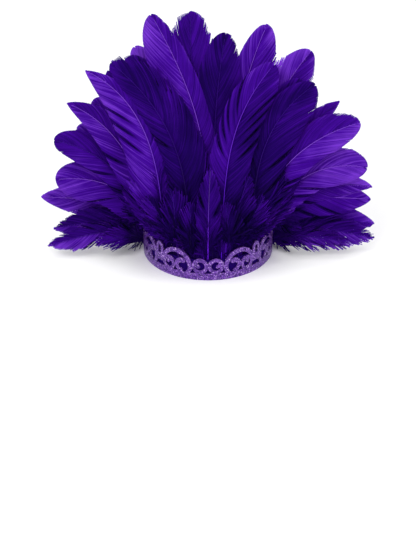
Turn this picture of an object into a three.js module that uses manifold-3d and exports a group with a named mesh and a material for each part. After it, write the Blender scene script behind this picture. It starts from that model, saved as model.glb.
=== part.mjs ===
// A feathered headdress: a pierced glitter band that closes into a ring round the head,
// a felt strip inside its scrollwork, and a fan of dyed feathers standing on that strip.
//
// Millimetres, +Z up. The band's lower rim lies in the plane z = 0 with its centre at the origin.
// The scrollwork and the face of the fan look towards -Y, and the hidden half of the band is plain.

import * as THREE from "three";
import { mergeVertices } from "three/addons/utils/BufferGeometryUtils.js";
import Module from "manifold-3d";

const wasm = await Module();
wasm.setup();

// The ring round the head
const bandWidth = 172; // across the ears, outside
const bandDepth = 200; // front to back, outside
const bandThickness = 1.8;
const rimHeight = 9.5; // the plain strip along the lower edge, all the way round
const scoreStep = 9.5; // the flat band is bent on lines this far apart

// The scrollwork, laid out flat: along the band from its middle, and up from its lower edge
const scrollStroke = 4.8;
const archStroke = 6.0;
const loopStroke = 4.6;
const centreScrollReach = 8.6; // radius of the middle pair, to the middle of the stroke
const centreScrollHeight = 19.6;
const archHalfWidth = 21;
const archHeight = 38.0; // to the middle of the stroke
const curlReach = 7.8;
const curlHeight = 18.2;
const loopHalfWidth = 4.8;
const loopHeight = 39.4;
const motifGap = 15; // the room for the small loop between two arches
const motifsPerSide = 2;
const centreHook = { from: 60, sweep: -80, ballAt: 0.26 }; // ballAt is a share of the spiral's reach
// What stands in each arch: at is a share of archHalfWidth from its middle
const inArch = {
  cup: { at: -0.47, reach: 0.53, from: 180, sweep: 80 },
  frond: { at: -0.45, from: -85, sweep: 190, ballAt: 0.78, keep: 0.4 },
  spiral: { at: 0.51, from: 150, sweep: -90, ballAt: 0.3 },
};
const chordAngle = 26; // degrees of a curl for each straight length
const chordsPerRun = 6; // straight lengths in one run of the pen
const archChords = 10;
const penCorners = [-45, 0, 45]; // degrees round the pen's end
// The width of the lesser strokes, as shares of scrollStroke
const strokeShare = { hook: 0.8, frond: 0.9, frondEnd: 1.5, bar: 1.2 };
const tuck = { arch: 0.33, centre: 0.4 }; // how much of a stroke neighbouring motifs share

// The felt strip that the quills are glued to
const feltThickness = 1.5;
const feltLow = 7;
const feltHigh = 28;
const feltHalfAngle = 89; // degrees each way from the middle

// The fan
const leanAngle = 25; // degrees that the fan leans in over the head
const fanFront = -24; // how far the nearest feather stands in front of the band's lower edge
const backArch = 22; // how far a feather as tall as the fan arches back at its tip
const fanHeight = 354; // up the face of the fan, from the band's lower edge to the tallest tip
const fanReach = 222; // sideways from the middle to the widest tip
const broadVane = 58; // the broadest feather
const vaneThickness = 0.9;
const rachisRise = 0.9; // how far the shaft stands proud of the vane
const layerClearance = 0.4;
const quillWidth = 3;
const quillEndTaper = 0.6;
const quillTipTaper = 0.5; // how much of its width the shaft loses by the tip
const settle = { reach: 46, share: 0.42 }; // how far above the band a feather reaches its own layer
const seatClearance = 0.4;
const bandClearance = 2.5; // a quill clears the top of the band by this much before it bends
const scrollRootAngle = 84; // degrees: the last quill that stands behind the scrollwork
const strapRootAngles = { first: 92.5, step: 4.2 }; // degrees: the quills behind the plain strap
const strapFoot = 1.5;
const handleShare = 0.38; // how far a feather holds its first and last direction

// Each feather, in order along the band. tipX and tipRise place its tip, as shares of fanReach
// sideways from the middle and of fanHeight up the face of the fan. start and end are its
// directions, in degrees from straight up, where it leaves the band and at its tip. width is a
// share of broadVane, skew is how much of the vane's left half has gone to the right one, and a
// low layer is near the front.
const feathers = [
  // name, tipX, tipRise, start, end, width, skew, layer, tip, zone
  ["left_side_2", -1.0, 0.311, -34, -86, 0.79, 0, 43, "point", "strap"],
  ["left_side_1", -0.923, 0.193, -52, -94, 0.69, 0, 40, "point", "strap"],
  ["left_hem_2", -0.955, 0.125, -72, -104, 0.59, 0, 36, "point", "strap"],
  ["left_hem_1", -0.673, 0.145, -80, -97, 0.48, 0, 33, "point", "strap"],
  ["left_short_1", -0.509, 0.246, -36, -76, 0.52, 0, 37, "point", "scroll"],
  ["left_back_1", -0.786, 0.563, -18, -68, 0.83, 0, 33, "round", "scroll"],
  ["left_side_3", -0.905, 0.372, -20, -98, 0.9, -0.1, 30, "round", "scroll"],
  ["left_short_2", -0.509, 0.309, -18, -60, 0.55, 0, 27, "point", "scroll"],
  ["left_side_4", -0.914, 0.517, -20, -80, 0.76, 0.1, 23, "round", "scroll"],
  ["left_back_2", -0.682, 0.666, -12, -52, 0.83, 0, 21, "round", "scroll"],
  ["left_back_3", -0.509, 0.614, -10, -40, 0.86, 0, 20, "round", "scroll"],
  ["left_side_5", -0.832, 0.654, -16, -68, 0.86, 0, 18, "point", "scroll"],
  ["left_tall_1", -0.48, 0.824, -7, -42, 0.93, 0, 16, "round", "scroll"],
  ["left_broad", -0.72, 0.771, -2, -65, 0.93, -0.3, 9, "point", "scroll"],
  ["left_dark_1", -0.586, 0.777, -5, -42, 0.9, 0, 14, "round", "scroll"],
  ["left_short_3", -0.364, 0.309, -10, -36, 0.59, 0, 6, "point", "scroll"],
  ["left_down_1", -0.227, 0.337, -2, -24, 0.69, 0, 4, "point", "scroll"],
  ["left_back_4", -0.409, 0.737, -6, -30, 0.86, 0, 24, "round", "scroll"],
  ["left_tall_2", -0.436, 0.866, -4, -30, 0.83, 0, 19, "round", "scroll"],
  ["left_dark_2", -0.574, 0.802, 6, -52, 0.97, 0.25, 8, "round", "scroll"],
  ["left_down_2", -0.114, 0.286, 0, -12, 0.66, 0, 3, "point", "scroll"],
  ["middle_back_1", -0.205, 0.834, -2, -12, 0.83, 0, 22, "round", "scroll"],
  ["top_1", -0.105, 1.0, -4, -1, 1.1, 0, 15, "round", "scroll"],
  ["left_tall_3", -0.337, 0.982, 8, -30, 0.93, -0.35, 11, "round", "scroll"],
  ["middle_short", 0.014, 0.409, 0, 3, 0.55, 0, 0, "point", "scroll"],
  ["top_2", 0.105, 0.914, 1, 10, 1.0, 0, 12, "round", "scroll"],
  ["middle_back_2", 0.191, 0.829, 4, 12, 0.83, 0, 21, "round", "scroll"],
  ["right_rachis", 0.391, 0.794, 2, 42, 0.93, 0.12, 4, "round", "scroll"],
  ["right_tall_1", 0.35, 0.947, 4, 24, 0.9, 0.2, 14, "round", "scroll"],
  ["right_down_1", 0.114, 0.286, 0, 10, 0.66, 0, 2, "point", "scroll"],
  ["right_down_2", 0.25, 0.389, 6, 26, 0.62, 0, 5, "point", "scroll"],
  ["right_tall_2", 0.609, 0.849, 4, 39, 1.0, 0, 16, "round", "scroll"],
  ["right_back_1", 0.436, 0.714, 6, 34, 0.86, 0, 25, "round", "scroll"],
  ["right_short_1", 0.336, 0.309, 8, 34, 0.59, 0, 7, "point", "scroll"],
  ["right_dark_1", 0.555, 0.74, 2, 44, 0.74, 0, 15, "round", "scroll"],
  ["right_dark_2", 0.632, 0.72, -1, 58, 0.97, 0.2, 9, "round", "scroll"],
  ["right_side_1", 0.896, 0.58, 6, 76, 0.86, 0, 13, "round", "scroll"],
  ["right_narrow", 0.777, 0.662, 12, 54, 0.69, 0, 18, "point", "scroll"],
  ["right_back_2", 0.682, 0.543, 14, 62, 0.86, 0, 19, "round", "scroll"],
  ["right_side_2", 0.941, 0.414, 14, 104, 0.86, 0, 21, "round", "scroll"],
  ["right_short_2", 0.473, 0.286, 20, 58, 0.55, 0, 25, "point", "scroll"],
  ["right_side_3", 0.973, 0.346, 26, 100, 0.66, 0, 28, "point", "scroll"],
  ["right_side_4", 0.967, 0.3, 30, 92, 0.86, 0, 30, "point", "scroll"],
  ["right_short_3", 0.536, 0.24, 36, 78, 0.48, 0, 34, "point", "scroll"],
  ["right_short_4", 0.555, 0.2, 44, 84, 0.45, 0, 36, "point", "scroll"],
  ["right_hem_2", 0.836, 0.142, 80, 96, 0.55, 0, 37, "point", "strap"],
  ["right_hem_1", 0.993, 0.157, 66, 97, 0.76, 0, 39, "point", "strap"],
  ["right_side_5", 0.995, 0.211, 52, 93, 0.79, 0, 42, "point", "strap"],
].map(([name, tipX, tipRise, start, end, width, skew, layer, tip, zone]) =>
  ({ name, tipX, tipRise, start, end, width, skew, layer, tip, zone }));

// Where along a feather its solid has a section, as shares of the length above the band
const sections = [0, 0.08, 0.16, 0.28, 0.42, 0.58, 0.74, 0.86, 0.94, 0.985];

// How a vane widens and how its tip closes, by the kind of tip. The vane is bare up to bareTo and
// full at fullAt, and both come sooner on a feather that stands at the side of the head.
const vaneForms = {
  round: { bareTo: 0.07, fullAt: 0.4, tipFrom: 0.68, tipPower: 2.4, blunt: 0.5 },
  point: { bareTo: 0.07, fullAt: 0.36, tipFrom: 0.52, tipPower: 1.8, blunt: 0.75 },
};
const sideOpening = { bareTo: 0.15, fullAt: 0.7 }; // what is left of both at the ears

const radians = THREE.MathUtils.degToRad;
const layerPitch = vaneThickness + rachisRise + layerClearance;
const lean = radians(leanAngle);

const colours = {
  glitter: new THREE.MeshStandardMaterial({ color: 0x7b3fb0, roughness: 0.45, metalness: 0.3 }),
  felt: new THREE.MeshStandardMaterial({ color: 0x2c0a78, roughness: 0.95, metalness: 0 }),
  feather: new THREE.MeshStandardMaterial({ color: 0x3f129c, roughness: 0.6, metalness: 0 }),
};

// The ring as an ellipse. Angle 0 is the middle of the scrollwork, and inset moves it inwards.
function ringPoint(angle, inset = 0) {
  const normal = ringNormal(angle);
  return new THREE.Vector2(
    (bandWidth / 2) * Math.sin(angle) - normal.x * inset,
    -(bandDepth / 2) * Math.cos(angle) - normal.y * inset,
  );
}

function ringNormal(angle) {
  return new THREE.Vector2(
    (bandDepth / 2) * Math.sin(angle),
    -(bandWidth / 2) * Math.cos(angle),
  ).normalize();
}

// Arc lengths along half the ring, so that the flat band can be bent without stretching it
const arcSteps = 720;
const arcLengths = [0];
for (let i = 1; i <= arcSteps; i++) {
  const a = ringPoint(((i - 1) / arcSteps) * Math.PI);
  const b = ringPoint((i / arcSteps) * Math.PI);
  arcLengths.push(arcLengths[i - 1] + a.distanceTo(b));
}
const halfRing = arcLengths[arcSteps];

function angleAt(along) {
  const wanted = Math.min(Math.abs(along), halfRing);
  let low = 0;
  let high = arcSteps;
  while (high - low > 1) {
    const middle = (low + high) >> 1;
    if (arcLengths[middle] <= wanted) low = middle;
    else high = middle;
  }
  const share = (wanted - arcLengths[low]) / (arcLengths[high] - arcLengths[low]);
  return (Math.sign(along) * (low + share) * Math.PI) / arcSteps;
}

// Solids and geometries
function solidOf(geometry) {
  const bare = geometry.clone();
  bare.deleteAttribute("normal");
  bare.deleteAttribute("uv");
  const merged = mergeVertices(bare, 1e-4);
  const made = new wasm.Mesh({
    numProp: 3,
    vertProperties: merged.attributes.position.array,
    triVerts: new Uint32Array(merged.index.array),
  });
  return new wasm.Manifold(made);
}

function trianglesOf(solid) {
  const mesh = solid.getMesh();
  const corner = (i) => new THREE.Vector3().fromArray(mesh.vertProperties, mesh.triVerts[i] * mesh.numProp);
  const triangles = [];
  for (let i = 0; i < mesh.triVerts.length; i += 3) triangles.push([corner(i), corner(i + 1), corner(i + 2)]);
  return triangles;
}

function geometryOf(triangles) {
  const positions = triangles.flat().flatMap((p) => [p.x, p.y, p.z]);
  const geometry = new THREE.BufferGeometry();
  geometry.setAttribute("position", new THREE.Float32BufferAttribute(positions, 3));
  geometry.computeVertexNormals();
  return geometry;
}

// A stroke of the scrollwork: a line drawn with a round-ended pen, as thick as the band.
// A long one is laid down in several runs, since it may wind over itself.
function stroke(line, width, endWidth = width) {
  const last = line.length - 1;
  const half = (i) => THREE.MathUtils.lerp(width, endWidth, i / last) / 2;
  const side = line.map((p, i) => {
    const along = line[Math.min(i + 1, last)].clone().sub(line[Math.max(i - 1, 0)]);
    return new THREE.Vector2(-along.y, along.x).normalize();
  });
  const edge = (i, sign) => line[i].clone().addScaledVector(side[i], sign * half(i));
  const cap = (i, sign) => penCorners.map((turn) => {
    const forward = new THREE.Vector2(side[i].y, -side[i].x).multiplyScalar(sign * Math.cos(radians(turn)));
    const across = side[i].clone().multiplyScalar(-sign * Math.sin(radians(turn)));
    return line[i].clone().addScaledVector(forward.add(across), half(i));
  });
  const runs = [];
  for (let from = 0; from < last; from += chordsPerRun) {
    const to = Math.min(from + chordsPerRun, last);
    const steps = Array.from({ length: to - from + 1 }, (_, i) => from + i);
    const left = steps.map((i) => edge(i, 1));
    const right = steps.reverse().map((i) => edge(i, -1));
    runs.push(plate([...left, ...cap(to, 1), ...right, ...cap(from, -1)]));
  }
  return runs.reduce((whole, run) => whole.add(run));
}

function plate(outline) {
  const shape = new THREE.Shape(THREE.ShapeUtils.isClockWise(outline) ? outline.slice().reverse() : outline);
  return solidOf(new THREE.ExtrudeGeometry(shape, { depth: bandThickness, bevelEnabled: false }));
}

// A curl winds inwards from its outer reach. Angles are in degrees, and sweep is negative clockwise.
function curl({ x, y, reach, inner, from, sweep, keep = 0.6 }) {
  const count = Math.ceil(Math.abs(sweep) / chordAngle);
  return Array.from({ length: count + 1 }, (_, i) => {
    const share = i / count;
    const wound = Math.max(0, (share - keep) / (1 - keep));
    const radius = THREE.MathUtils.lerp(reach, inner, wound);
    const turn = radians(from + sweep * share);
    return new THREE.Vector2(x + radius * Math.cos(turn), y + radius * Math.sin(turn));
  });
}

// A round-headed arch. Its feet go down from the springing line to their own height.
function arch(x, halfWidth, top, springing, foot = springing) {
  const bow = Array.from({ length: archChords + 1 }, (_, i) => {
    const turn = Math.PI * (1 - i / archChords);
    return new THREE.Vector2(x + halfWidth * Math.cos(turn), springing + (top - springing) * Math.sin(turn));
  });
  if (foot === springing) return bow;
  return [new THREE.Vector2(x - halfWidth, foot), ...bow, new THREE.Vector2(x + halfWidth, foot)];
}

// A closed ring of the scrollwork with a hook inside that ends in a small ball
function spiral(x, y, reach, hook) {
  const ring = curl({ x, y, reach, inner: reach, from: -90, sweep: -360 });
  const inner = reach * hook.ballAt;
  const inside = curl({ x, y, reach, inner, from: hook.from, sweep: hook.sweep, keep: 0 });
  return [stroke(ring, scrollStroke), stroke(inside, scrollStroke * strokeShare.hook, scrollStroke)];
}

// An arch with the curls that stand in it
function archMotif(x) {
  const springing = curlHeight - 1;
  const { cup, frond } = inArch;
  const cupReach = archHalfWidth * cup.reach;
  const cupLine = curl({
    x: x + archHalfWidth * cup.at, y: springing, reach: cupReach,
    inner: cupReach, from: cup.from, sweep: cup.sweep,
  });
  const frondLine = curl({
    x: x + archHalfWidth * frond.at, y: curlHeight + bandThickness / 2, reach: curlReach,
    inner: curlReach * frond.ballAt, from: frond.from, sweep: frond.sweep, keep: frond.keep,
  });
  return [
    stroke(arch(x, archHalfWidth, archHeight, springing), archStroke),
    stroke(cupLine, archStroke, scrollStroke),
    stroke(frondLine, scrollStroke * strokeShare.frond, scrollStroke * strokeShare.frondEnd),
    ...spiral(x + archHalfWidth * inArch.spiral.at, springing, curlReach, inArch.spiral),
  ];
}

// The small loop between two arches, on two bars that join them
function loopMotif(x) {
  const bar = (height) => [-1, 0, 1].map((side) => new THREE.Vector2(x + (side * motifGap) / 2, height));
  const springing = loopHeight - 1.5 * loopHalfWidth;
  return [
    stroke(arch(x, loopHalfWidth, loopHeight, springing, loopHeight / 2), loopStroke),
    stroke(bar(curlHeight), scrollStroke * strokeShare.bar),
    stroke(bar(curlHeight + scrollStroke), scrollStroke * strokeShare.bar),
  ];
}

// One half of the scrollwork, on the side where x is positive
function scrollwork() {
  const motifStep = 2 * archHalfWidth + motifGap;
  const firstArch = 2 * centreScrollReach + scrollStroke + archHalfWidth + archStroke * tuck.arch;
  const centre = centreScrollReach + scrollStroke * tuck.centre;
  const strokes = spiral(centre, centreScrollHeight, centreScrollReach, centreHook);
  for (let motif = 0; motif < motifsPerSide; motif++) {
    const x = firstArch + motif * motifStep;
    strokes.push(...archMotif(x), ...loopMotif(x + motifStep / 2));
  }
  // the last loop stands on a post of its own, beside the plain strap
  const post = firstArch + motifsPerSide * motifStep - archHalfWidth;
  const postEnds = [rimHeight / 2, curlHeight + scrollStroke];
  const postLine = postEnds.map((height) => new THREE.Vector2(post, height));
  strokes.push(stroke(postLine, archStroke));
  return strokes;
}

const mirrored = (solid) => solidOf(geometryOf(trianglesOf(solid).map(([a, b, c]) =>
  [a, c, b].map((p) => new THREE.Vector3(-p.x, p.y, p.z)))));

// Bends a short length of the flat band round the ring. The two ends meet behind the head.
function bent(flat, left, right) {
  return solidOf(geometryOf(trianglesOf(flat).map((triangle) => triangle.map((p) => {
    const line = [left, right].find((x) => Math.abs(p.x - x) < 2e-3);
    const along = rounded(line ?? p.x);
    const angle = along <= rounded(-halfRing) ? Math.PI : angleAt(along);
    const place = ringPoint(angle, bandThickness - rounded(p.z));
    return new THREE.Vector3(rounded(place.x), rounded(place.y), rounded(p.y));
  }))));
}

const rounded = (value) => Math.round(value * 1000) / 1000;

function rectangle(left, bottom, right, top) {
  const corners = [[left, bottom], [right, bottom], [right, top], [left, top]];
  return corners.map(([x, y]) => new THREE.Vector2(x, y));
}

// The flat band is parted along upright lines, each length is bent, and they are joined again
function scrollBand() {
  const half = scrollwork();
  const rim = plate(rectangle(-halfRing, 0, halfRing, rimHeight));
  const flat = [...half, ...half.map(mirrored)].reduce((whole, piece) => whole.add(piece), rim);
  const count = Math.ceil((2 * halfRing) / scoreStep);
  const lines = Array.from({ length: count + 1 }, (_, i) => halfRing * ((2 * i) / count - 1));
  const lengths = lines.slice(1).map((right, i) => {
    const left = lines[i];
    const outline = new THREE.Shape(rectangle(left, -rimHeight, right, 2 * loopHeight));
    const room = new THREE.ExtrudeGeometry(outline, { depth: 3 * bandThickness, bevelEnabled: false });
    room.translate(0, 0, -bandThickness);
    return bent(flat.intersect(solidOf(room)), left, right);
  });
  return geometryOf(trianglesOf(lengths.reduce((whole, piece) => whole.add(piece))));
}

function feltStrip() {
  const inset = bandThickness + seatClearance;
  const count = 36;
  const angles = Array.from({ length: count + 1 }, (_, i) => radians(feltHalfAngle * ((2 * i) / count - 1)));
  const outline = [
    ...angles.map((angle) => ringPoint(angle, inset)),
    ...angles.slice().reverse().map((angle) => ringPoint(angle, inset + feltThickness)),
  ];
  const geometry = new THREE.ExtrudeGeometry(new THREE.Shape(outline), {
    depth: feltHigh - feltLow, bevelEnabled: false,
  });
  geometry.translate(0, 0, feltLow);
  return geometry;
}

// The fan's own axes: x sideways, y up its face, z away from the viewer. Its origin is the
// middle of the band's lower edge.
const fanToPart = new THREE.Matrix4()
  .makeBasis(
    new THREE.Vector3(1, 0, 0),
    new THREE.Vector3(0, Math.sin(lean), Math.cos(lean)),
    new THREE.Vector3(0, Math.cos(lean), -Math.sin(lean)),
  )
  .setPosition(0, -bandDepth / 2, 0);
const partToFan = fanToPart.clone().invert();

// The height of the band where a quill stands
function bandTop(angle, zone) {
  if (zone === "strap") return rimHeight;
  const insideScrolls = Math.abs(ringPoint(angle).x) < 2 * centreScrollReach + scrollStroke;
  if (insideScrolls) return centreScrollHeight + centreScrollReach + scrollStroke / 2;
  return loopHeight + loopStroke / 2;
}

// How far a quill's section reaches towards the wall that it is glued to
function quillReach(angle) {
  const normal = ringNormal(angle);
  const across = Math.abs(normal.x) * (quillWidth / 2);
  const through = Math.abs(normal.y) * Math.cos(lean);
  return Math.max(across + through * (vaneThickness / 2), through * (vaneThickness / 2 + rachisRise));
}

function backwardArch(rise) {
  return backArch * (rise / fanHeight) ** 2;
}

// The half width of a vane, as a share of its widest, at a share of the length
function vaneShare(share, form, rootAngle) {
  const atSide = Math.min(1, Math.abs(Math.sin(rootAngle)) ** 4);
  const left = (key) => form[key] * THREE.MathUtils.lerp(1, sideOpening[key], atSide);
  const opening = THREE.MathUtils.smoothstep(share, left("bareTo"), left("fullAt"));
  const closing = Math.max(0, (share - form.tipFrom) / (1 - form.tipFrom));
  return opening * (1 - closing ** form.tipPower) ** form.blunt;
}

// The middle line of a feather as sections: foot and top of the quill, and then along its bow
function featherSections(feather, rootAngle) {
  const wall = feather.zone === "strap" ? bandThickness : bandThickness + seatClearance + feltThickness;
  const place = ringPoint(rootAngle, wall + seatClearance + quillReach(rootAngle));
  const foot = feather.zone === "strap" ? strapFoot : feltLow + 1;
  const top = bandTop(rootAngle, feather.zone) + bandClearance;
  const footPoint = new THREE.Vector3(place.x, place.y, foot).applyMatrix4(partToFan);
  const topPoint = new THREE.Vector3(place.x, place.y, top).applyMatrix4(partToFan);

  const tip = new THREE.Vector2(feather.tipX * fanReach, feather.tipRise * fanHeight);
  const exit = new THREE.Vector2(topPoint.x, topPoint.y);
  const handle = exit.distanceTo(tip) * handleShare;
  const direction = (degrees) => new THREE.Vector2(Math.sin(radians(degrees)), Math.cos(radians(degrees)));
  const bow = new THREE.CubicBezierCurve(
    exit,
    exit.clone().addScaledVector(direction(feather.start), handle),
    tip.clone().addScaledVector(direction(feather.end), -handle),
    tip,
  );
  const length = bow.getLength();
  const settled = Math.min(settle.reach, settle.share * length);
  const ownDepth = fanFront + feather.layer * layerPitch;
  const form = vaneForms[feather.tip];

  const made = [{
    middle: new THREE.Vector2(footPoint.x, footPoint.y),
    side: new THREE.Vector2(1, 0),
    half: (quillWidth / 2) * quillEndTaper,
    depth: footPoint.z,
  }];
  for (const share of sections) {
    const middle = bow.getPointAt(share);
    const along = share === 0 ? direction(feather.start / 2) : bow.getTangentAt(share);
    const own = THREE.MathUtils.smoothstep(share * length, 0, settled);
    const quill = (quillWidth / 2) * (1 - quillTipTaper * share);
    const half = Math.max(quill, ((feather.width * broadVane) / 2) * vaneShare(share, form, rootAngle));
    made.push({
      middle,
      side: new THREE.Vector2(along.y, -along.x),
      half,
      skew: feather.skew * (1 - quill / half),
      depth: THREE.MathUtils.lerp(topPoint.z, ownDepth, own),
      arched: own,
    });
  }
  return made;
}

// A feather as a thin blade with its shaft as a low ridge down the front
function feather(row, rootAngle) {
  const rings = featherSections(row, rootAngle).map(({ middle, side, half, skew = 0, depth, arched = 0 }) => {
    const corner = (across, forward) => {
      const flat = middle.clone().addScaledVector(side, across * half * (1 + across * skew));
      const back = depth + arched * backwardArch(flat.y) - forward;
      return new THREE.Vector3(flat.x, flat.y, back).applyMatrix4(fanToPart);
    };
    const edge = vaneThickness / 2;
    return [
      corner(-1, edge), corner(0, edge + rachisRise), corner(1, edge),
      corner(1, -edge), corner(0, -edge), corner(-1, -edge),
    ];
  });
  const triangles = [];
  for (let i = 0; i + 1 < rings.length; i++) {
    rings[i].forEach((a, j) => {
      const k = (j + 1) % 6;
      triangles.push([a, rings[i][k], rings[i + 1][k]], [a, rings[i + 1][k], rings[i + 1][j]]);
    });
  }
  const closing = [[0, 5, 1], [1, 5, 4], [1, 4, 2], [2, 4, 3]];
  const close = (ring) => closing.map((corners) => corners.map((i) => ring[i]));
  triangles.push(...close(rings[0]), ...close(rings[rings.length - 1]).map((t) => t.reverse()));
  return geometryOf(triangles);
}

// The quills stand side by side: evenly behind the scrollwork, and closer behind the strap
function rootAngles() {
  const inScroll = feathers.filter((row) => row.zone === "scroll");
  const step = (2 * scrollRootAngle) / (inScroll.length - 1);
  return feathers.map((row) => {
    if (row.zone === "scroll") return radians(-scrollRootAngle + inScroll.indexOf(row) * step);
    const sign = Math.sign(row.tipX);
    const sideRows = feathers.filter((other) => other.zone === "strap" && Math.sign(other.tipX) === sign);
    const place = sign > 0 ? sideRows.indexOf(row) : sideRows.length - 1 - sideRows.indexOf(row);
    return radians(sign * (strapRootAngles.first + place * strapRootAngles.step));
  });
}

const headdress = new THREE.Group();

function addPiece(name, geometry, material) {
  const mesh = new THREE.Mesh(geometry, material);
  mesh.name = name;
  headdress.add(mesh);
}

addPiece("scroll_band", scrollBand(), colours.glitter);
addPiece("felt_strip", feltStrip(), colours.felt);
const roots = rootAngles();
feathers.forEach((row, i) => addPiece(`feather_${row.name}`, feather(row, roots[i]), colours.feather));

export default headdress;
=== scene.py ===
# A feathered headdress: dyed feathers in a fan on a pierced glitter band.
# It rests on the band's rim. Lengths in the tables are millimetres unless a note says otherwise.
import math

import bmesh
import bpy
import numpy as np
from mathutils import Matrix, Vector


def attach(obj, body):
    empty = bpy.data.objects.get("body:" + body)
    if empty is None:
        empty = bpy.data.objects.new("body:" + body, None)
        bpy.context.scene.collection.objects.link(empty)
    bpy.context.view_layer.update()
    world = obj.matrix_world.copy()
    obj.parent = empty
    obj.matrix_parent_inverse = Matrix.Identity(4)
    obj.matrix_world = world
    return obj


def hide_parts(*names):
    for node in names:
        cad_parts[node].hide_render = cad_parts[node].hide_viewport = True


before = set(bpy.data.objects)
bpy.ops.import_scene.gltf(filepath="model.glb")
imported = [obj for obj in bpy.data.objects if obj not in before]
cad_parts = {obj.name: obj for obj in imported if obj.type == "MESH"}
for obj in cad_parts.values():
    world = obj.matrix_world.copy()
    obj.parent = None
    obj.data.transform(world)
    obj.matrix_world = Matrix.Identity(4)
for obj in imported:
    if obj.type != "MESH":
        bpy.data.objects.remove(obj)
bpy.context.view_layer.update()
scene = bpy.context.scene
mm = 0.001
tiny = 1e-9

# The ring and the fan, as the frame has them
ring = {"width": 172, "depth": 200, "thickness": 1.8, "rim": 9.5}
roots = {
    "seat": 0.4, "felt": 1.5, "quillHeart": 1.4,  # inwards: the gap, the felt, and then half a quill
    "scrollSpan": 84, "strapFirst": 92.5, "strapStep": 4.2,  # degrees round the ring
    "feltFoot": 8, "feltTop": 28, "strapFoot": 1.5,
    "archTop": 41.7, "middleTop": 30.6, "middleHalf": 22, "clear": 2.5,
    "strapShows": 0.9,  # how much of a quill shows where it stands behind the strap
}
fan = {
    "lean": 25,  # degrees
    "front": -24,  # depth of the front layer, of the arch at the back, and of one layer
    "backArch": 22,
    "layerPitch": 2.2,
    "height": 354,  # what tipX, tipRise and width in the table are shares of
    "reach": 222,
    "broad": 58,
    "settleReach": 46,  # how soon a feather comes to its own layer
    "settleShare": 0.42,
    "handle": 0.38,
}
# How a vane opens from its foot and closes to its tip, as shares of the length
vaneForms = {
    "round": {"bareTo": 0.07, "fullAt": 0.4, "tipFrom": 0.68, "tipPower": 2.4, "blunt": 0.5},
    "point": {"bareTo": 0.07, "fullAt": 0.36, "tipFrom": 0.52, "tipPower": 1.8, "blunt": 0.75},
}
sideOpening = {"bareTo": 0.15, "fullAt": 0.7}  # the two as shares, on a feather at the ring's side

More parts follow.
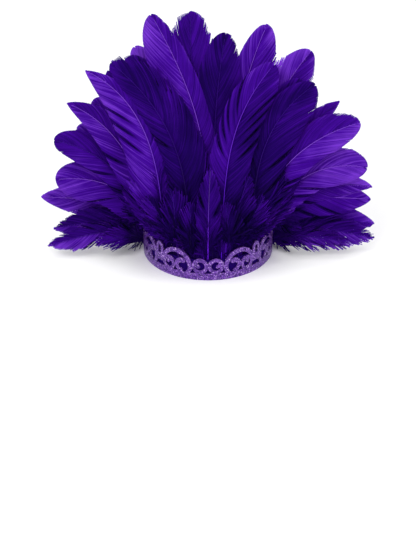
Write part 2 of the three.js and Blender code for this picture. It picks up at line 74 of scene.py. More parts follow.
# Each feather in order along the band: where its tip is, its first and last direction in degrees,
# its width, its layer from the front, how its tip closes, what it stands behind, and then its looks:
# its painted light and shade, how frayed, how many splits it has, and how much down it has at its base
feathers = [
    # name, tipX, tipRise, start, end, width, skew, layer, tip, zone, pale, fray, splits, down
    ("left_side_2", -1.0, 0.311, -34, -86, 0.79, 0, 43, "point", "strap", 0.75, 0.35, 2, 1.0),
    ("left_side_1", -0.923, 0.193, -52, -94, 0.69, 0, 40, "point", "strap", 0.45, 0.5, 2, 1.2),
    ("left_hem_2", -0.955, 0.125, -72, -104, 0.59, 0, 36, "point", "strap", 0.5, 0.8, 3, 1.2),
    ("left_hem_1", -0.673, 0.145, -80, -97, 0.48, 0, 33, "point", "strap", 0.5, 0.8, 2, 1.6),
    ("left_short_1", -0.509, 0.246, -36, -76, 0.52, 0, 37, "point", "scroll", 0, 0.9, 2, 1.4),
    ("left_back_1", -0.786, 0.563, -18, -68, 0.83, 0, 33, "round", "scroll", 0.6, 0.3, 1, 0.8),
    ("left_side_3", -0.905, 0.372, -20, -98, 0.9, -0.1, 30, "round", "scroll", 0.55, 0.25, 1, 1.0),
    ("left_short_2", -0.509, 0.309, -18, -60, 0.55, 0, 27, "point", "scroll", 0, 0.9, 2, 1.4),
    ("left_side_4", -0.914, 0.517, -20, -80, 0.76, 0.1, 23, "round", "scroll", 0.25, 0.5, 2, 0.9),
    ("left_back_2", -0.682, 0.666, -12, -52, 0.83, 0, 21, "round", "scroll", 0.6, 0.3, 1, 0.8),
    ("left_back_3", -0.509, 0.614, -10, -40, 0.86, 0, 20, "round", "scroll", 0.4, 0.3, 1, 0.8),
    ("left_side_5", -0.832, 0.654, -16, -68, 0.86, 0, 18, "point", "scroll", 0.5, 0.3, 2, 0.8),
    ("left_tall_1", -0.48, 0.824, -7, -42, 0.93, 0, 16, "round", "scroll", 0.15, 0.7, 2, 0.8),
    ("left_broad", -0.72, 0.771, -2, -65, 0.93, -0.3, 9, "point", "scroll", 0.6, 0.35, 5, 0.8),
    ("left_dark_1", -0.586, 0.777, -5, -42, 0.9, 0, 14, "round", "scroll", 0.1, 0.4, 2, 0.8),
    ("left_short_3", -0.364, 0.309, -10, -36, 0.59, 0, 6, "point", "scroll", 0, 0.8, 2, 1.6),
    ("left_down_1", -0.227, 0.337, -2, -24, 0.69, 0, 4, "point", "scroll", 0, 0.8, 2, 1.5),
    ("left_back_4", -0.409, 0.737, -6, -30, 0.86, 0, 24, "round", "scroll", 0.2, 0.3, 1, 0.8),
    ("left_tall_2", -0.436, 0.866, -4, -30, 0.83, 0, 19, "round", "scroll", 1.0, 0.25, 1, 0.8),
    ("left_dark_2", -0.574, 0.802, 6, -52, 0.97, 0.25, 8, "round", "scroll", 0.05, 0.8, 2, 0.8),
    ("left_down_2", -0.114, 0.286, 0, -12, 0.66, 0, 3, "point", "scroll", 0, 0.8, 2, 1.5),
    ("middle_back_1", -0.205, 0.834, -2, -12, 0.83, 0, 22, "round", "scroll", 0.15, 0.3, 1, 0.8),
    ("top_1", -0.105, 1.0, -4, -1, 1.1, 0, 15, "round", "scroll", 0.3, 0.8, 3, 0.8),
    ("left_tall_3", -0.337, 0.982, 8, -30, 0.93, -0.35, 11, "round", "scroll", 0.5, 0.3, 5, 0.8),
    ("middle_short", 0.014, 0.409, 0, 3, 0.55, 0, 0, "point", "scroll", 0.25, 0.6, 1, 1.25),
    ("top_2", 0.105, 0.914, 1, 10, 1.0, 0, 12, "round", "scroll", 0.1, 0.6, 2, 0.8),
    ("middle_back_2", 0.191, 0.829, 4, 12, 0.83, 0, 21, "round", "scroll", 0.1, 0.3, 1, 0.8),
    ("right_rachis", 0.391, 0.794, 2, 42, 0.93, 0.12, 4, "round", "scroll", 0.3, 0.45, 6, 0.8),
    ("right_tall_1", 0.35, 0.947, 4, 24, 0.9, 0.2, 14, "round", "scroll", 0.55, 0.7, 3, 0.8),
    ("right_down_1", 0.114, 0.286, 0, 10, 0.66, 0, 2, "point", "scroll", 0, 0.8, 2, 1.5),
    ("right_down_2", 0.25, 0.389, 6, 26, 0.62, 0, 5, "point", "scroll", 0, 0.8, 2, 1.4),
    ("right_tall_2", 0.609, 0.849, 4, 39, 1.0, 0, 16, "round", "scroll", 0.6, 0.6, 3, 0.8),
    ("right_back_1", 0.436, 0.714, 6, 34, 0.86, 0, 25, "round", "scroll", 0.05, 0.3, 1, 0.8),
    ("right_short_1", 0.336, 0.309, 8, 34, 0.59, 0, 7, "point", "scroll", 0, 0.8, 2, 1.6),
    ("right_dark_1", 0.555, 0.74, 2, 44, 0.74, 0, 15, "round", "scroll", 0.1, 0.3, 1, 0.8),
    ("right_dark_2", 0.632, 0.72, -1, 58, 0.97, 0.2, 9, "round", "scroll", 0.05, 0.3, 2, 0.8),
    ("right_side_1", 0.896, 0.58, 6, 76, 0.86, 0, 13, "round", "scroll", 0.6, 0.6, 3, 0.8),
    ("right_narrow", 0.777, 0.662, 12, 54, 0.69, 0, 18, "point", "scroll", 0.5, 0.3, 1, 0.8),
    ("right_back_2", 0.682, 0.543, 14, 62, 0.86, 0, 19, "round", "scroll", 0.5, 0.3, 1, 0.8),
    ("right_side_2", 0.941, 0.414, 14, 104, 0.86, 0, 21, "round", "scroll", 0.75, 0.3, 2, 0.9),
    ("right_short_2", 0.473, 0.286, 20, 58, 0.55, 0, 25, "point", "scroll", 0, 0.9, 2, 1.4),
    ("right_side_3", 0.973, 0.346, 26, 100, 0.66, 0, 28, "point", "scroll", 0.75, 0.4, 2, 1.0),
    ("right_side_4", 0.967, 0.3, 30, 92, 0.86, 0, 30, "point", "scroll", 0.5, 0.4, 2, 1.0),
    ("right_short_3", 0.536, 0.24, 36, 78, 0.48, 0, 34, "point", "scroll", 0, 0.9, 2, 1.4),
    ("right_short_4", 0.555, 0.2, 44, 84, 0.45, 0, 36, "point", "scroll", 0, 0.9, 2, 1.6),
    ("right_hem_2", 0.836, 0.142, 80, 96, 0.55, 0, 37, "point", "strap", 0.5, 0.6, 3, 1.8),
    ("right_hem_1", 0.993, 0.157, 66, 97, 0.76, 0, 39, "point", "strap", 0.5, 0.45, 2, 1.4),
    ("right_side_5", 0.995, 0.211, 52, 93, 0.79, 0, 42, "point", "strap", 0.4, 0.5, 2, 1.0),
]
columns = [
    "name", "tipX", "tipRise", "start", "end", "width", "skew", "layer", "tip", "zone",
    "pale", "fray", "splits", "down",
]
feathers = [dict(zip(columns, row)) for row in feathers]


def smoothstep(value, low, high):
    share = np.clip((value - low) / (high - low), 0, 1)
    return share * share * (3 - 2 * share)


def mix(a, b, share):
    return a + (b - a) * share


# The ring's point and outward direction at an angle from the middle of the scrollwork
def ringNormal(angle):
    normal = Vector((ring["depth"] / 2 * math.sin(angle), -ring["width"] / 2 * math.cos(angle)))
    return normal.normalized()


def ringPoint(angle, inset=0.0):
    normal = ringNormal(angle)
    return Vector((
        ring["width"] / 2 * math.sin(angle) - normal.x * inset,
        -ring["depth"] / 2 * math.cos(angle) - normal.y * inset,
    ))


# The fan's axes: across, up its face, and away from the viewer
lean = math.radians(fan["lean"])
fanAxes = np.array([
    [1, 0, 0],
    [0, math.sin(lean), math.cos(lean)],
    [0, math.cos(lean), -math.sin(lean)],
])
fanOrigin = np.array([0, -ring["depth"] / 2, 0])


def fanToRoom(points):
    return points @ fanAxes + fanOrigin


def roomToFan(point):
    return fanAxes @ (np.array(point) - fanOrigin)


def rootAngles():
    behindScrolls = [row["name"] for row in feathers if row["zone"] == "scroll"]
    step = 2 * roots["scrollSpan"] / (len(behindScrolls) - 1)
    angles = {name: -roots["scrollSpan"] + i * step for i, name in enumerate(behindScrolls)}
    for sign in (-1, 1):
        names = [row["name"] for row in feathers if row["zone"] == "strap" and row["tipX"] * sign > 0]
        for i, name in enumerate(names if sign > 0 else names[::-1]):
            angles[name] = sign * (roots["strapFirst"] + i * roots["strapStep"])
    return {name: math.radians(angle) for name, angle in angles.items()}


def bezier(a, b, c, d, count=240):
    t = np.linspace(0, 1, count)[:, None]
    points = (1 - t) ** 3 * a + 3 * (1 - t) ** 2 * t * b + 3 * (1 - t) * t * t * c + t ** 3 * d
    return points


# The middle line of one feather. A share runs from 0, just above the band, to 1 at the tip,
# and is below 0 along the hidden end of the quill.
def middleLine(row, angle):
    strap = row["zone"] == "strap"
    wall = ring["thickness"] + (0 if strap else roots["seat"] + roots["felt"])
    place = ringPoint(angle, wall + roots["seat"] + roots["quillHeart"])
    inMiddle = abs(ringPoint(angle).x) < roots["middleHalf"]
    bandTop = ring["rim"] if strap else roots["middleTop"] if inMiddle else roots["archTop"]
    foot = roomToFan((place.x, place.y, roots["strapFoot"] if strap else roots["feltFoot"]))
    top = roomToFan((place.x, place.y, bandTop + roots["clear"]))
    tip = np.array([row["tipX"] * fan["reach"], row["tipRise"] * fan["height"]])
    handle = np.linalg.norm(tip - top[:2]) * fan["handle"]

    def direction(degrees):
        return np.array([math.sin(math.radians(degrees)), math.cos(math.radians(degrees))])

    leaves = top[:2] + direction(row["start"]) * handle
    arrives = tip - direction(row["end"]) * handle
    bow = bezier(top[:2], leaves, arrives, tip)
    steps = np.linalg.norm(np.diff(bow, axis=0), axis=1)
    length = steps.sum()
    share = np.concatenate([[0], np.cumsum(steps)]) / length
    settled = min(fan["settleReach"], fan["settleShare"] * length)
    own = smoothstep(share * length, 0, settled)
    depth = mix(top[2], fan["front"] + row["layer"] * fan["layerPitch"], own)
    depth = depth + own * fan["backArch"] * (bow[:, 1] / fan["height"]) ** 2

    quill = np.linalg.norm(top - foot) / length
    share = np.concatenate([[-quill], share])
    line = np.vstack([foot, np.column_stack([bow, depth])])
    along = np.gradient(line[1:, :2], share[1:], axis=0)
    along = np.vstack([along[0], along])
    across = np.column_stack([along[:, 1], -along[:, 0]])
    across /= np.linalg.norm(across, axis=1)[:, None]
    # the share of the quill that shows above the felt
    quillRise = bandTop + roots["clear"] - roots["feltFoot"]
    shows = 1 - (roots["feltTop"] - roots["feltFoot"]) / quillRise
    return {
        "share": share, "line": line, "across": across, "length": length, "angle": angle,
        "open": roots["strapShows"] if strap else shows,
    }


def onLine(middle, share, across, forward=0.0):
    shares = middle["share"]
    point = np.stack([np.interp(share, shares, middle["line"][:, i]) for i in range(3)], axis=-1)
    side = np.stack([np.interp(share, shares, middle["across"][:, i]) for i in range(2)], axis=-1)
    point[..., :2] += side * np.asarray(across)[..., None]
    point[..., 2] -= forward
    return point


# A template is one small shape made with operators and then laid down many times
def barbTemplate(steps):
    shape = bmesh.new()
    bmesh.ops.create_circle(shape, cap_ends=True, segments=3, radius=1)
    for i in range(steps):
        shape.faces.ensure_lookup_table()
        top = max(shape.faces, key=lambda face: face.calc_center_median().z)
        grown = bmesh.ops.extrude_face_region(shape, geom=[top])
        moved = [v for v in grown["geom"] if isinstance(v, bmesh.types.BMVert)]
        bmesh.ops.translate(shape, verts=moved, vec=(0, 0, 1))
        if i:
            bmesh.ops.delete(shape, geom=[top], context="FACES_ONLY")
    bmesh.ops.recalc_face_normals(shape, faces=shape.faces)
    shape.verts.ensure_lookup_table()

    def stepAndTurn(i):
        at = shape.verts[i].co
        return (round(at.z), math.atan2(at.y, at.x))

    order = sorted(range(len(shape.verts)), key=stepAndTurn)
    place = {old: new for new, old in enumerate(order)}
    faces = [[place[v.index] for v in face.verts] for face in shape.faces]
    shape.free()
    return faces


floorEase = 3  # the height below which barbs bend up from the floor


def addMesh(name, parts, materials):
    verts, faces, slots, uvs, tones = [], [], [], [], []
    base = 0
    for part in parts:
        verts.append(part["verts"])
        uvs.append(part["uv"])
        tones.append(part["tone"])
        faces += [[base + i for i in face] for face in part["faces"]]
        slots += [part["slot"]] * len(part["faces"])
        base += len(part["verts"])
    mesh = bpy.data.meshes.new(name)
    room = fanToRoom(np.vstack(verts))
    height = room[:, 2]
    room[:, 2] = np.where(height < floorEase, floorEase * np.exp(height / floorEase - 1), height)
    mesh.from_pydata((room * mm).tolist(), [], faces)
    for material in materials:
        mesh.materials.append(material)
    mesh.polygons.foreach_set("material_index", slots)
    mesh.polygons.foreach_set("use_smooth", [True] * len(faces))
    corner = np.empty(len(mesh.loops), dtype=np.int32)
    mesh.loops.foreach_get("vertex_index", corner)
    layer = mesh.uv_layers.new(name="barbs")
    layer.data.foreach_set("uv", np.vstack(uvs)[corner].ravel().astype(np.float32))
    tone = mesh.attributes.new("tone", "FLOAT", "POINT")
    tone.data.foreach_set("value", np.concatenate(tones).astype(np.float32))
    mesh.update()
    piece = bpy.data.objects.new(name, mesh)
    scene.collection.objects.link(piece)
    return piece


# Many barbs from one template: points has a place for each barb and step, aside has the barb's
# reach to either side as vectors, and lift is how far its ridge stands forward
def layBarbs(points, aside, lift, tone, uv, template):
    count, steps = points.shape[:2]
    ridge = points.copy()
    ridge[..., 2] -= lift
    corners = np.stack([points - aside[0], ridge, points + aside[1]], axis=2)
    verts = corners.reshape(-1, 3)
    faces = []
    around = corners.shape[2]
    size = steps * around
    for barb in range(count):
        faces += [[barb * size + i for i in face] for face in template]
    return {
        "verts": verts, "faces": faces, "slot": 0,
        "uv": np.repeat(uv, around, axis=1).reshape(-1, 2),
        "tone": np.repeat(tone, around, axis=1).reshape(-1),
    }


# A vane's barbs. "t" in a note is the share of the way from a barb's root to its end.
vane = {
    "outlineSteps": 600,
    "bareWidth": 0.34,  # the vane's width just above the band, as a share, and where it starts to open
    "bareRamp": 0.1,
    "gap": 1.3,  # between the barbs' ends, along the vane's edge
    "jitter": (0.3, 0.7),  # where in its gap a barb ends
    "steps": 6,
    "overlap": 1.5,  # a barb's width as a share of the space it has, and the same for a loose one
    "looseWidth": 0.95,
    "finest": 0.35,  # the least and the most space that a barb fills
    "widest": 4,
    "lift": 0.16,  # how far its ridge stands out
    "endTaper": (0.35, 12),  # how much a barb narrows to its end, and the power of t
    "wave": 0.05,  # how far the edge wanders, as a share of the vane's half width
    "waveStep": 26,  # the length of one wave
    "slope": 33,  # degrees between a barb and the shaft, and the same near the tip
    "tipSlope": 17,
    "tipFrom": 0.5,
    "lowestRoot": 0.4,  # where a barb may start at the lowest, as a share of where it ends
    "alongBow": 1.15,  # powers of t that bow a barb
    "acrossBow": 1.3,
    "camber": 2.2,  # how far the edge bends back, how far a full turn moves it, and for what half width
    "twist": 2.4,
    "camberHalf": 25,
    "loft": 0.1,  # how unevenly the barbs lie
    "lock": 7,  # barbs that hang together
    "seam": 0.7,  # how far the barbs of the two sides cross under the shaft
}
# Loose barbs: at the foot of every vane, and all the way up a downy feather
hair = {
    "foot": (70, 150),  # where along the feather its barbs turn from loose to locked
    "footShare": (0.25, 0.5),  # the same for a small feather, as shares of its length
    "sideTips": (0.45, 0.85),  # feathers with a tip this far out have fewer of them
    "atSide": 0.25,
    "slope": 12,  # how many degrees closer to the shaft they lie
    "forward": 2.2,  # how far they stray: across as a share of their reach, the others as lengths
    "across": 0.25,
    "along": 5,
    "taper": 0.75,
}
# Wear: where and how much the ends of the barbs are ragged and drawn together
wear = {
    "from": (0.3, 0.9),  # where along the feather
    "step": 22,  # the length of one worn stretch
    "starts": 1.1,  # the more frayed a feather is, the more of its edge is worn
    "full": (1.15, 0.3),
    "barb": (0.006, 0.05),  # how ragged single barbs are, sound and frayed, and whole locks
    "lock": (0.004, 0.07),
    "clump": 0.8,  # how far the ends of a lock draw together, and from which t
    "clumpFrom": 0.6,
    "taper": 0.45,  # how much thinner the ends get, and from which t
    "taperFrom": 0.7,
}
# Splits: where the vane parts, with painted shade along their edges
split = {
    "from": (0.3, 0.72),  # where along the feather
    "wide": (4, 7),  # at the vane's edge
    "reach": 12,  # how far along the edge the barbs move aside
    "across": (0.2, 0.8),  # where along a barb
    "lift": 0.8,  # how far the barbs above a split stand in front of those below it
    "shade": 1.5,  # how deep the painted shade on its two edges is, where along a barb, and how far from the split
    "shadeAcross": (0.1, 0.6),
    "edge": 1.7,
}
# Tones, which the dye and its painted light read: 0 is deep and 1 is pale. Some are painted shade
# and painted light, as their notes say
shading = {
    "barb": 0.35,
    "rise": 0.65,  # painted shade: deepest at the foot, where the feathers shade each other, paler towards the tip
    "riseFrom": (-0.4, 0.75),
    "lock": 0.2,
    "turn": 0.36,  # how much paler the vane is that turns to the light
    "edge": 0.36,  # how much paler the barbs end near the feather's tip
    "down": 0.8,
}
# The splits that can be seen plainly, on the left (-1) and the right (1), as shares of the length
splitsAt = {
    "left_tall_3": {-1: (0.61, 0.68, 0.74, 0.81), 1: ()},
    "left_broad": {-1: (0.62, 0.7, 0.79), 1: (0.6,)},
    "right_rachis": {-1: (0.6, 0.68, 0.76, 0.86), 1: (0.62, 0.71, 0.8, 0.88)},
    "right_tall_2": {-1: (0.7,), 1: (0.72, 0.8)},
}
down = {
    "share": 0.36,  # how far up the feather it goes, as a share of the length and at the most
    "most": 75,
    "below": 9,  # how far below the felt's top edge it starts
    "perLength": 3.1,  # barbs for each millimetre
    "lowest": 1.9,  # a power: higher puts more of it near the band
    "looseAt": 22,  # where it is loose and stands out
    "reach": 28,
    "sizes": (0.55, 1.1),
    "lowSize": 0.7,
    "lowSlope": (3, 12),  # degrees from the shaft, near the band and above
    "slope": (6, 30),
    "curl": 3,  # how far it curls, and how often
    "curls": (2, 5),
    "curlStart": (0, 6),
    "curlAcross": 0.4,
    "curlForward": 0.3,
    "thick": 0.5,  # how far it stands from the vane, at its foot and at its ends
    "spread": 4.5,
    "spreadPower": 1.3,
    "row": 4.4,  # how far it stands to either side along the ring, and where that fades
    "rowFades": (6, 50),
    "width": 0.9,
    "taper": 0.75,
    "lift": 0.12,
    "steps": 5,
}
shaft = {
    "foot": 0.8, "tip": 0.22,  # radius
    "taperPower": 0.7, "steps": 34, "sides": 6, "forward": 0.5, "end": 0.97,
    "toneFrom": (0.1, 0.7),  # where along the feather its colour changes
}

barbFaces = barbTemplate(vane["steps"])
downFaces = barbTemplate(down["steps"])


def halfWidth(row, middle, share):
    form = vaneForms[row["tip"]]
    atSide = min(1, abs(math.sin(middle["angle"])) ** 4)
    bareTo, fullAt = [form[key] * mix(1, sideOpening[key], atSide) for key in ("bareTo", "fullAt")]
    opening = mix(vane["bareWidth"], 1, smoothstep(share, bareTo - vane["bareRamp"], fullAt))
    closing = np.clip((share - form["tipFrom"]) / (1 - form["tipFrom"]), 0, 1)
    towardsTip = (1 - closing ** form["tipPower"]) ** form["blunt"]
    return row["width"] * fan["broad"] / 2 * opening * towardsTip


# How far each barb reaches to the neighbour on either side at each step
def barbSides(points, width):
    direction = np.gradient(points, axis=1)
    direction /= np.linalg.norm(direction, axis=2)[..., None] + tiny
    apart = np.gradient(points, axis=0)
    apart -= direction * (apart * direction).sum(axis=2)[..., None]
    apart /= np.linalg.norm(apart, axis=2)[..., None] + tiny
    step = np.abs((np.diff(points, axis=0) * apart[:-1]).sum(axis=2))
    reach = np.clip(step, vane["finest"], vane["widest"]) / 2
    before = np.vstack([reach[:1], reach])
    after = np.vstack([reach, reach[-1:]])
    return apart * (before * width)[..., None], apart * (after * width)[..., None]


# A smooth random line between -1 and 1 along a feather
def wander(place, step, length, rng):
    knots = np.arange(0, length + 2 * step, step)
    return np.interp(place, knots, rng.uniform(-1, 1, len(knots)))


def vaneBarbs(row, middle, sign, rng):
    length = middle["length"]
    outline = np.linspace(0, 1, vane["outlineSteps"])
    edge = np.hypot(np.diff(outline) * length, np.diff(halfWidth(row, middle, outline)))
    edge = np.concatenate([[0], np.cumsum(edge)])
    count = int(edge[-1] / vane["gap"])
    place = (np.arange(count) + rng.uniform(*vane["jitter"], count)) / count
    end = np.interp(place, edge / edge[-1], outline)
    half = halfWidth(row, middle, end) * (1 + sign * row["skew"])
    half = half * (1 + vane["wave"] * wander(end * length, vane["waveStep"], length, rng))
    foot, locked = np.minimum(hair["foot"], np.array(hair["footShare"]) * length)
    atFoot = 1 - smoothstep(end * length, foot, locked)
    atFoot = atFoot * mix(1, hair["atSide"], smoothstep(abs(row["tipX"]), *hair["sideTips"]))
    loose = np.maximum(row["loose"], atFoot)[:, None]
    slope = mix(vane["slope"], vane["tipSlope"], smoothstep(end, vane["tipFrom"], 1))
    slope = np.radians(slope - hair["slope"] * atFoot)
    root = np.maximum(end - half / np.tan(slope) / length, end * vane["lowestRoot"])
    root = np.maximum.accumulate(root)

    # locks of barbs hang together, and where the vane is frayed their ends draw in
    lock = np.cumsum(rng.random(count) < 1 / vane["lock"])
    lockMiddle = np.array([end[lock == i].mean() for i in lock])
    worn = 0.5 + 0.5 * wander(end * length, wear["step"], length, rng)
    starts = 1 - wear["starts"] * row["fray"]
    full = wear["full"][0] - wear["full"][1] * row["fray"]
    fray = row["fray"] * smoothstep(end, *wear["from"]) * smoothstep(worn, starts, full)
    ragged = 1 + rng.normal(0, 1, count) * (wear["barb"][0] + wear["barb"][1] * fray)
    ragged += rng.normal(0, 1, lock[-1] + 1)[lock] * (wear["lock"][0] + wear["lock"][1] * fray)
    clump = wear["clump"] * fray * (lockMiddle - end)
    part = np.zeros(count)
    beside = np.zeros(count)
    byChance = rng.uniform(*split["from"], row["splits"])
    for at in splitsAt.get(row["name"], {}).get(sign, byChance):
        away = (end - at) * length
        wide = rng.uniform(*split["wide"])
        part += np.sign(away) * wide / 2 / length * np.exp(-np.abs(away) / split["reach"])
        beside += np.sign(away) * np.exp(-np.abs(away) / split["edge"])

    t = np.linspace(0, 1, vane["steps"] + 1)[None, :]
    along = root[:, None] + (end - root)[:, None] * t ** vane["alongBow"]
    parting = smoothstep(t, *split["across"])
    parted = clump[:, None] * smoothstep(t, wear["clumpFrom"], 1) + part[:, None] * parting
    reach = (1 - (1 - t) ** vane["acrossBow"]) * (half * ragged)[:, None]
    across = sign * (reach - vane["seam"] * (1 - t))
    bend = vane["camber"] * t ** 2 - sign * row["turn"] * vane["twist"] * t
    forward = -bend * (half / vane["camberHalf"])[:, None]
    forward = forward + rng.normal(0, vane["loft"], count)[:, None] * t
    forward += split["lift"] * beside[:, None] * parting

    # loose barbs stray from the vane and thin out to hairs
    forward = forward + loose * rng.normal(0, hair["forward"], count)[:, None] * t ** 1.5
    across = across * (1 + loose * rng.normal(0, hair["across"], count)[:, None] * t)
    along = along + loose * rng.normal(0, hair["along"], count)[:, None] * t ** 2 / length
    narrowing, power = vane["endTaper"]
    frayed = wear["taper"] * fray[:, None] * smoothstep(t, wear["taperFrom"], 1)
    taper = mix(1 - narrowing * t ** power - frayed, 1 - hair["taper"] * t, loose)
    unparted = onLine(middle, along, across, forward)
    aside = barbSides(unparted, mix(vane["overlap"], vane["looseWidth"], loose) * taper)
    points = onLine(middle, along + parted, across, forward)

    # The tone: each barb's own random tone and its lock's, with painted shade at the foot, painted
    # light on the vane turned to the light, and painted shade beside each split
    tone = shading["barb"] * rng.random(count)[:, None]
    tone = tone + shading["rise"] * smoothstep(along, *shading["riseFrom"])
    tone = tone + shading["lock"] * rng.uniform(-1, 1, lock[-1] + 1)[lock][:, None] * t
    tone = tone + sign * shading["turn"] * row["turn"]
    tone = tone - split["shade"] * np.abs(beside)[:, None] * smoothstep(t, *split["shadeAcross"])
    tone = tone + shading["edge"] * t ** 3 * smoothstep(along, vane["tipFrom"], 1)
    uv = np.stack([np.broadcast_to((end * length)[:, None], along.shape), across], axis=-1)
    return layBarbs(points, aside, vane["lift"], tone, uv, barbFaces)


# Soft down at the foot of a feather, from the felt up to where the vane is full
def downBarbs(row, middle, rng):
    length = middle["length"]
    top = min(down["share"] * length, down["most"])
    low = middle["share"][0] * middle["open"] * length - down["below"]
    count = int((top - low) * down["perLength"] * max(1, row["down"]))
    root = low + (top - low) * rng.random(count) ** down["lowest"]
    loose = smoothstep(root, low, down["looseAt"])
    sign = rng.choice([-1, 1], count)
    size = down["reach"] * rng.uniform(*down["sizes"], count) * mix(down["lowSize"], 1, loose)
    slope = mix(rng.uniform(*down["lowSlope"], count), rng.uniform(*down["slope"], count), loose)
    slope = np.radians(slope)
    t = np.linspace(0, 1, down["steps"] + 1)[None, :]
    curls = rng.uniform(*down["curls"], count)[:, None]
    curlStart = rng.uniform(*down["curlStart"], count)[:, None]
    curl = np.sin(t * curls + curlStart) * t * down["curl"] * loose[:, None]
    along = (root[:, None] + (size * np.cos(slope))[:, None] * t) / length
    across = sign[:, None] * (size * np.sin(slope))[:, None] * t + curl * down["curlAcross"]
    spread = down["thick"] + down["spread"] * loose[:, None] * t ** down["spreadPower"]
    forward = rng.uniform(-1, 1, count)[:, None] * spread + curl * down["curlForward"]
    # at its foot it fills the row between the quills
    alongRing = ringNormal(middle["angle"]).orthogonal()
    alongRing = fanAxes @ np.array([alongRing.x, alongRing.y, 0])
    inRow = rng.uniform(-1, 1, count) * down["row"] * (1 - smoothstep(root, *down["rowFades"]))
    points = onLine(middle, along, across, forward) + inRow[:, None, None] * alongRing
    direction = np.gradient(points, axis=1)
    direction /= np.linalg.norm(direction, axis=2)[..., None] + tiny
    aside = np.stack([-direction[..., 1], direction[..., 0], np.zeros_like(across)], axis=-1)
    aside *= (down["width"] / 2 * (1 - down["taper"] * t))[..., None]
    uv = np.stack([np.broadcast_to(root[:, None], along.shape), across], axis=-1)
    tone = np.broadcast_to((rng.random(count) * shading["down"])[:, None], along.shape)
    return layBarbs(points, (aside, aside), down["lift"], tone, uv, downFaces)


def shaftTube(row, middle):
    steps, sides = shaft["steps"], shaft["sides"]
    share = np.linspace(middle["share"][0], shaft["end"], steps + 1)
    centre = onLine(middle, share, np.zeros(steps + 1), shaft["forward"])
    around = np.linspace(0, 2 * math.pi, sides, endpoint=False)
    radius = mix(shaft["foot"], shaft["tip"], np.clip(share, 0, 1) ** shaft["taperPower"])[:, None]
    side = [np.interp(share, middle["share"], middle["across"][:, i]) for i in range(2)]
    side = np.stack(side, axis=-1)
    verts = np.repeat(centre[:, None, :], sides, axis=1)
    verts[..., :2] += side[:, None, :] * (np.cos(around) * radius)[..., None]
    verts[..., 2] -= np.sin(around) * radius
    faces = []
    for i in range(steps):
        low, high = i * sides, (i + 1) * sides
        for j in range(sides):
            beyond = (j + 1) % sides
            faces.append([low + j, low + beyond, high + beyond, high + j])
    faces += [list(range(sides))[::-1], [steps * sides + j for j in range(sides)]]
    uv = np.repeat(np.stack([share * middle["length"], share * 0], axis=-1), sides, axis=0)
    return {
        "verts": verts.reshape(-1, 3), "faces": faces, "slot": 1, "uv": uv,
        "tone": np.repeat(smoothstep(share, *shaft["toneFrom"]), sides),
    }


# Materials
def newMaterial(name):
    material = bpy.data.materials.new(name)
    material.use_nodes = True
    tree = material.node_tree
    return material, tree, tree.nodes["Principled BSDF"]


def colour(red, green, blue):
    def linear(value):
        value /= 255
        return value / 12.92 if value <= 0.04045 else ((value + 0.055) / 1.055) ** 2.4
    return (linear(red), linear(green), linear(blue), 1)


# Dye and painted light over barbs: streaks along each barb, a tone for each barb that also holds
# painted light and shade, the feather's painted light, and patches across the whole
dyeAndLightLook = {
    "streakScale": (0.42, 0.045, 1),  # along the feather, and along a barb
    "streakDetail": 4,
    "streaks": 0.95,  # the weight of the streaks, of the tone and of the patches
    "tone": 0.9,
    "patches": 0.7,
    "patchScale": 22,
    "patchDetail": 2,
    "levels": (0.85, 2.7),  # the sum of it all that is deepest, and the one that is palest
    "roughness": (0.6, 0.45),  # where the tone is deep, and where it is pale
    # the palest stop is a painted highlight, the satin shine of the barbs
    "stops": [(0.0, (8, 0, 38)), (0.35, (27, 0, 84)), (0.7, (61, 6, 141)), (1.0, (116, 54, 200))],
}


